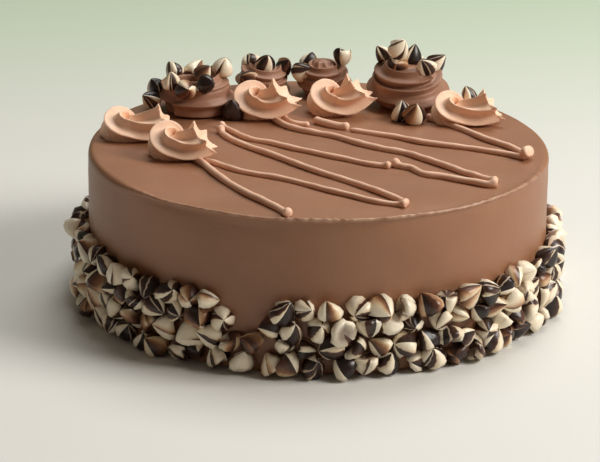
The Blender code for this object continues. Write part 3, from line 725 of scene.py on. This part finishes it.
def frames_along(centre, upright=(0.0, 0.0, 1.0)):
    """Unit vectors forward, to the side and over, at each point of a path."""
    forward = np.gradient(centre, axis=0)
    forward /= np.linalg.norm(forward, axis=1)[:, None]
    side = np.cross(forward, upright)
    side /= np.linalg.norm(side, axis=1)[:, None]
    return forward, side, np.cross(side, forward)


def capped_tube(rings, start, end):
    """Quads and fans that close rings of points with one point at each end."""
    rows, columns = rings.shape[:2]
    points = np.concatenate([rings.reshape(-1, 3), [start, end]])
    fans = np.concatenate([
        fan_faces(np.arange(columns), rows * columns, True),
        fan_faces(np.arange(columns) + (rows - 1) * columns, rows * columns + 1, False),
    ])
    return points, grid_faces(rows, columns), fans


def zigzag_mesh():
    """Each run is a round rope of wavering thickness, with swollen ends, set a little into the icing."""
    points, quads, fans, total = [], [], [], 0
    for number, (radius, first_swell, last_swell, bends) in enumerate(ZIGZAG_RUNS):
        route = smooth_run(bends, ROPE_SPACING)
        length = np.concatenate([[0.0], np.cumsum(np.linalg.norm(np.diff(route, axis=0), axis=1))])
        left = length[-1] - length
        radius = radius * MM
        swell = first_swell * bump_at(length, 0.0, SWELL_REACH) + last_swell * bump_at(left, 0.0, SWELL_REACH)
        thick = radius * (1.0 + swell) * (1.0 + 0.035 * line_noise(length, 20 + number, 40 * MM, 9 * MM))
        nose = radius * (1.0 + max(first_swell, last_swell)) * 0.9
        close = np.sqrt(np.clip(1.0 - (1.0 - np.minimum(length, left) / nose).clip(0.0) ** 2, 0.02, 1.0))
        drift = 0.22 * MM * line_noise(length, 60 + number, 40 * MM, 16 * MM)
        height = CAKE_HEIGHT + thick - ROPE_SINK * radius
        centre = np.stack([route[:, 0], route[:, 1] + drift, height], -1)
        forward, side, over = frames_along(centre)
        turn = np.arange(ROPE_COLUMNS) / ROPE_COLUMNS * TURN
        ring = side[:, None] * np.cos(turn)[None, :, None] + over[:, None] * np.sin(turn)[None, :, None]
        rings = centre[:, None] + ring * (thick * close)[:, None, None]
        start = centre[0] - forward[0] * 0.1 * radius
        end = centre[-1] + forward[-1] * 0.1 * radius
        run_points, run_quads, run_fans = capped_tube(rings, start, end)
        points.append(run_points)
        quads.append(run_quads + total)
        fans.append(run_fans + total)
        total += len(run_points)
    return new_mesh("zigzag", np.concatenate(points), np.concatenate(quads), np.concatenate(fans))


# The piped swirls


SWIRL_ALONG_STEPS = 110
SWIRL_RIDGE_STEPS = 14
MOUND_UP_STEPS = 30
MOUND_RIDGE_STEPS = 12
MOUND_RIDGE_DEPTH = 0.16
# A mound's outline from foot to top: share of its radius and of its height
MOUND_UP_TO = (0.0, 0.12, 0.3, 0.5, 0.7, 0.85, 1.0)
MOUND_OUT = (0.90, 0.98, 1.0, 0.93, 0.74, 0.50, 0.06)
MOUND_UP = (-0.05, 0.12, 0.34, 0.60, 0.83, 0.95, 1.0)
# The hollow in a rope's end: how far in each ring has shrunk, and how far back it lies
HOLLOW_RINGS = ((0.72, 0.10), (0.4, 0.22), (0.15, 0.28))


def star_outline(turn, ridges, depth):
    """Radius round a star nozzle's mouth: crisp crests with hollow flutes between."""
    share = (turn * ridges) % 1.0
    return 1.0 - depth * ((np.sin(np.pi * share) ** 2 + 0.03) ** 0.33 - 0.31) / 0.70


def swirl_surface(swirl, along_steps, round_steps):
    """A star-sectioned rope as rings of points.

    Its centre line winds round in a plane that leans back, its distance from the
    middle and its height changing on the way, and then runs straight on. Its star
    section turns a little along it. The crests are drawn out past the end, and the
    end itself is hollow.
    """
    end = math.radians(swirl["end_bearing"])
    lean = math.radians(swirl["lean"])
    wound = swirl["turns"] * TURN
    mean_reach = 0.5 * (swirl["start_reach"] + swirl["end_reach"])
    wound_share = wound * mean_reach / (wound * mean_reach + swirl["run_on"])
    t = np.linspace(0.0, 1.0, along_steps)
    share = np.minimum(t / wound_share, 1.0)
    past = np.maximum(t - wound_share, 0.0) / (1.0 - wound_share)
    angle = end - wound * (1.0 - share)
    reach = swirl["start_reach"] + (swirl["end_reach"] - swirl["start_reach"]) * smooth_step(share)
    run_on = swirl["run_on"] * past
    across = reach * np.cos(angle) - np.sin(end) * run_on
    back = reach * np.sin(angle) + np.cos(end) * run_on
    grown = swirl["start_thick"] + (1.0 - swirl["start_thick"]) * smooth_step(t / swirl["grow"])
    thick = swirl["rope"] * grown * (1.0 + (swirl["flare"] - 1.0) * past ** 2) * (1.0 - swirl["taper"] * t ** 2)
    z = swirl["lift"] + back * math.cos(lean) + swirl["climb"] * share ** 1.3
    z = z + swirl["tail_rise"] * past ** 2 - swirl["dive"] * (1.0 - smooth_step(t / 0.30))
    centre = np.stack([across, back * math.sin(lean), z], -1)
    forward, side, over = frames_along(centre, (0.0, -math.cos(lean), math.sin(lean)))
    turn = np.arange(round_steps) / round_steps
    section = star_outline(turn, swirl["ridges"], 1.0)
    depth = swirl["depth"] + (swirl["end_depth"] - swirl["depth"]) * past ** 2
    star = 1.0 - depth[:, None] * (1.0 - section)[None, :]
    twist = TURN * (turn[None, :] + swirl["phase"] + swirl["twist"] * t[:, None])
    ring = side[:, None] * np.cos(twist)[..., None] + over[:, None] * np.sin(twist)[..., None]
    wave = 1.0 + 0.012 * line_noise(t, swirl["seed"], 0.6, 0.25, 5)
    rings = centre[:, None] + ring * ((thick * wave)[:, None] * star)[..., None]
    crest = (section - section.min()) / (1.0 - section.min())
    draw = np.random.default_rng(swirl["seed"])
    uneven = np.repeat(draw.uniform(0.5, 1.4, swirl["ridges"]), round_steps // swirl["ridges"])
    uneven = np.roll(uneven, round_steps // swirl["ridges"] // 2)
    drawn = swirl["drawn"] * crest * uneven
    last = rings[-1] + forward[-1] * drawn[:, None] + ring[-1] * (0.30 * drawn)[:, None]
    hollow = [last]
    for shrink, back_off in HOLLOW_RINGS:
        inside = centre[-1] + (rings[-1] - centre[-1]) * shrink
        hollow.append(inside + forward[-1] * (drawn[:, None] * 0.3 * shrink - back_off * swirl["rope"]))
    rings = np.concatenate([rings[:-1], np.array(hollow)])
    return rings, centre[0] - 0.3 * thick[0] * forward[0], centre[-1] - 0.3 * swirl["rope"] * forward[-1]


def mound_surface(radius, height, ridges, up_steps, round_steps):
    """The low star-ridged mound under a rosette: a dome whose ridges lean round it as they rise."""
    s = np.linspace(0.0, 1.0, up_steps)
    out = radius * np.interp(s, MOUND_UP_TO, MOUND_OUT)
    up = height * np.interp(s, MOUND_UP_TO, MOUND_UP)
    turn = np.arange(round_steps) / round_steps
    star = star_outline(turn[None, :] + 0.12 * s[:, None], ridges, MOUND_RIDGE_DEPTH)
    x = out[:, None] * star * np.cos(TURN * turn)
    y = out[:, None] * star * np.sin(TURN * turn)
    return np.stack([x, y, np.broadcast_to(up[:, None], x.shape)], -1)


LIGHT = {
    "turns": 0.66, "start_reach": 2.6 * MM, "end_reach": 5.2 * MM, "run_on": 10.5 * MM, "rope": 7.5 * MM,
    "start_thick": 0.60, "grow": 0.45, "taper": 0.0, "flare": 1.10, "climb": 0.0, "tail_rise": 4.6 * MM,
    "lift": 6.4 * MM, "dive": 6.0 * MM, "lean": 64.0, "ridges": 6, "depth": 0.42, "end_depth": 0.32,
    "twist": -0.30, "phase": 0.06, "drawn": 1.7 * MM, "end_bearing": -90.0, "mound": (9.8 * MM, 5.6 * MM, 9),
}
DARK = {
    "turns": 2.1, "start_reach": 12.5 * MM, "end_reach": 9.5 * MM, "run_on": 4.0 * MM, "rope": 6.8 * MM,
    "start_thick": 0.85, "grow": 0.25, "taper": 0.12, "flare": 1.0, "climb": 10.0 * MM, "tail_rise": 1.0 * MM,
    "lift": 6.2 * MM, "dive": 0.0, "lean": 78.0, "ridges": 6, "depth": 0.34, "end_depth": 0.38,
    "twist": -0.16, "phase": 0.04, "drawn": 1.0 * MM, "end_bearing": -60.0, "mound": (12.5 * MM, 19.0 * MM, 9),
}
# Name, kind, place in millimetres, size, turn in degrees, and what differs from its kind
SWIRLS = (
    ("rosette_1", LIGHT, -82.8, 10.0, 1.22, 4.0, {
        "rope": 6.4 * MM, "lift": 4.6 * MM, "lean": 70.0, "run_on": 13.0 * MM, "tail_rise": 4.4 * MM,
        "seed": 11}),
    ("rosette_2", LIGHT, -61.3, -16.2, 1.14, 0.0, {"rope": 6.9 * MM, "lift": 6.0 * MM, "seed": 12}),
    ("rosette_3", LIGHT, -26.5, 44.0, 1.10, -4.0, {"tail_rise": 6.4 * MM, "seed": 13}),
    ("rosette_4", LIGHT, 6.5, 50.0, 1.06, 6.0, {"tail_rise": 7.2 * MM, "seed": 14}),
    ("rosette_5", LIGHT, 61.8, 39.0, 1.14, 2.0, {
        "run_on": 13.0 * MM, "rope": 6.6 * MM, "lift": 5.4 * MM, "seed": 15}),
    ("dark_swirl_1", DARK, -55.5, 50.0, 1.0, 80.0, {
        "turns": 1.4, "run_on": 7.0 * MM, "climb": 6.0 * MM, "lean": 90.0, "lift": 5.4 * MM,
        "tail_rise": 5.0 * MM, "mound": (12.0 * MM, 12.0 * MM, 9), "seed": 16}),
    ("dark_swirl_2", DARK, -25.5, 74.0, 0.70, 60.0, {"seed": 17}),
    ("dark_swirl_3", DARK, 2.5, 76.0, 0.70, 0.0, {
        "climb": 12.0 * MM, "mound": (12.5 * MM, 24.0 * MM, 9), "seed": 18}),
    ("dark_swirl_4", DARK, 40.0, 61.5, 1.0, 0.0, {"climb": 9.8 * MM, "start_reach": 13.2 * MM, "seed": 19}),
)


def swirl_mesh(name, kind, x, y, size, turn, changes):
    """The rope and the mound under it, at their place on the cake's top, cut level at the icing."""
    swirl = {**kind, **changes}
    rings, start, end = swirl_surface(swirl, SWIRL_ALONG_STEPS, swirl["ridges"] * SWIRL_RIDGE_STEPS)
    points, quads, fans = capped_tube(rings, start, end)
    radius, height, ridges = swirl["mound"]
    dome = mound_surface(radius, height, ridges, MOUND_UP_STEPS, ridges * MOUND_RIDGE_STEPS)
    dome = dome + np.array((-0.1, 0.12, 0.0)) * radius
    more_points, more_quads, more_fans = capped_tube(dome, dome[0].mean(0), dome[-1].mean(0))
    quads = np.concatenate([quads, more_quads + len(points)])
    fans = np.concatenate([fans, more_fans + len(points)])
    points = np.concatenate([points, more_points])
    c, s = math.cos(math.radians(turn)), math.sin(math.radians(turn))
    across, back, up = points.T
    placed = np.stack([c * across - s * back, s * across + c * back, up], -1)
    placed = placed * size + np.array([x * MM, y * MM, CAKE_HEIGHT])
    floor = CAKE_HEIGHT - 0.25 * MM
    placed[:, 2] = np.maximum(placed[:, 2], floor)
    return new_mesh(name, placed, quads, fans)


# Putting the cake together


ZIGZAG_GRAIN = 0.36 * MM
SWIRL_GRAIN = 0.30 * MM
BORDER_PLUMP = 1.16
LEAST_DARK_ON_TOP = 0.55
# The border's drops hold less dark round this bearing, by up to this much
PALE_BEARING = math.radians(272.0)
PALE_WIDTH = math.radians(20.0)
PALER = -0.25

new_piece("iced_cake", icing_mesh(), icing, "icing", "cake")
plain = coarse_drop()
drawn_drops = border_drops()
border_stands = [press_on(plain, *drawn) for drawn in drawn_drops]
bearings = np.array([drawn[0] for drawn in drawn_drops])
pale_front = PALER * bump_at(bearings, PALE_BEARING, PALE_WIDTH)
border_mesh = drops_mesh(
    "border_drops", border_stands, seed=31, columns=4, rows=6, plump=BORDER_PLUMP, least_dark=0.0,
    darker=pale_front,
)
new_piece("border_drops", border_mesh, marbled, "marbled_drop", "cake")
# The zigzag's cream carries painted shade: a darker copy of the light cream
zigzag = new_piece("zigzag", zigzag_mesh(), rope_cream_in_shade, "light_cream", "cake")
fuse(zigzag, ZIGZAG_GRAIN, 1)
top_names = [f"top_drop_{number:02d}" for number in range(1, len(TOP_DROPS) + 1)]
dark_top = np.zeros(len(TOP_DROPS))
dark_top[DARK_TOP_DROP - 1] = 2.0
top_mesh = drops_mesh(
    "top_drops", top_drop_stands(), seed=37, columns=9, rows=14, plump=1.0, least_dark=LEAST_DARK_ON_TOP,
    darker=dark_top,
)
new_piece("top_drops", top_mesh, marbled, "marbled_drop", *top_names)
for entry in SWIRLS:
    light = entry[0].startswith("rosette")
    cream, slot = (light_cream, "light_cream") if light else (dark_cream, "dark_cream")
    swirl = new_piece(entry[0] + "_piped", swirl_mesh(*entry), cream, slot, entry[0])
    fuse(swirl, SWIRL_GRAIN, 3)


# Floor, light and camera


FLOOR_NEAR = (0.73, 0.725, 0.69)
FLOOR_FAR = (0.50, 0.61, 0.45)
WALL_RADIUS = 1.5
CAMERA_ELEVATION = math.radians(19.4)
CAMERA_ROLL = math.radians(0.82)
CAMERA_DISTANCE = 1.33
CAMERA_AIM = (-0.0076, 0.0, 0.0274)
CAMERA_LENS = 182.0
WORLD_COLOUR = (1.0, 0.84, 0.67, 1.0)
WORLD_LEVEL = 0.12


def floor_material():
    """Warm white near the cake, and a soft pale green far behind it."""
    made, tree, shader = principled("pale floor", 0.9, Specular_IOR_Level=0.1)
    place = tree.nodes.new("ShaderNodeTexCoord")
    split = tree.nodes.new("ShaderNodeSeparateXYZ")
    tree.links.new(place.outputs["Object"], split.inputs[0])
    reach = {"From Min": 0.12, "From Max": 0.6}
    far = add_node(tree, "ShaderNodeMapRange", reach, interpolation_type="SMOOTHSTEP")
    tree.links.new(split.outputs[1], far.inputs["Value"])
    colour = mix_colours(tree, far.outputs[0], FLOOR_NEAR, FLOOR_FAR)
    tree.links.new(colour, shader.inputs["Base Color"])
    return made


def backdrop():
    """A pale floor that curves up into a wall far behind the cake."""
    across = np.array([-4.0, 4.0])
    bend = np.linspace(0.0, math.pi / 2, 16)
    reach = np.concatenate([[-4.0, 3.0], 3.0 + WALL_RADIUS * np.sin(bend), [3.0 + WALL_RADIUS]])
    rise = np.concatenate([[0.0, 0.0], WALL_RADIUS - WALL_RADIUS * np.cos(bend), [5.0]])
    x, y = np.meshgrid(across, reach, indexing="ij")
    _, z = np.meshgrid(across, rise, indexing="ij")
    points = np.stack([x, y, z], -1).reshape(-1, 3)
    mesh = new_mesh("floor", points, grid_faces(2, len(reach), wrap=False))
    floor = bpy.data.objects.new("floor", mesh)
    bpy.context.scene.collection.objects.link(floor)
    mesh.materials.append(floor_material())


def soft_light(name, power, size, bearing, elevation, distance, colour):
    """A square area light that faces the cake from a bearing and an elevation."""
    data = bpy.data.lights.new(name, "AREA")
    data.energy = power
    data.size = size
    data.color = colour
    lamp = bpy.data.objects.new(name, data)
    bpy.context.scene.collection.objects.link(lamp)
    b, e = math.radians(bearing), math.radians(elevation)
    aim = Vector((0.0, 0.0, 0.04))
    toward = Vector((math.cos(b) * math.cos(e), math.sin(b) * math.cos(e), math.sin(e)))
    lamp.location = aim + distance * toward
    lamp.rotation_euler = (aim - lamp.location).to_track_quat("-Z", "Y").to_euler()


def set_camera():
    """A view from in front and a little above, rolled slightly."""
    back = Vector((0.0, -math.cos(CAMERA_ELEVATION), math.sin(CAMERA_ELEVATION)))
    up = Vector((0.0, math.sin(CAMERA_ELEVATION), math.cos(CAMERA_ELEVATION)))
    right = Vector((1.0, 0.0, 0.0))
    turned_right = right * math.cos(CAMERA_ROLL) + up * math.sin(CAMERA_ROLL)
    turned_up = up * math.cos(CAMERA_ROLL) - right * math.sin(CAMERA_ROLL)
    data = bpy.data.cameras.new("camera")
    data.sensor_width = 36.0
    data.lens = CAMERA_LENS
    data.clip_start, data.clip_end = 0.05, 50.0
    camera = bpy.data.objects.new("camera", data)
    bpy.context.scene.collection.objects.link(camera)
    turn = Matrix((turned_right, turned_up, back)).transposed().to_4x4()
    camera.matrix_world = Matrix.Translation(Vector(CAMERA_AIM) + back * CAMERA_DISTANCE) @ turn
    bpy.context.scene.camera = camera


backdrop()
soft_light(
    "key light", power=18.5, size=0.65, bearing=-10.0, elevation=36.0, distance=1.4, colour=(1.0, 0.97, 0.92),
)
soft_light(
    "far light", power=72.0, size=2.0, bearing=70.0, elevation=60.0, distance=3.5, colour=(1.0, 1.0, 0.98),
)
world = bpy.data.worlds.new("studio")
world.use_nodes = True
world.node_tree.nodes["Background"].inputs[0].default_value = WORLD_COLOUR
world.node_tree.nodes["Background"].inputs[1].default_value = WORLD_LEVEL
bpy.context.scene.world = world
bpy.context.scene.view_settings.view_transform = "Standard"
set_camera()
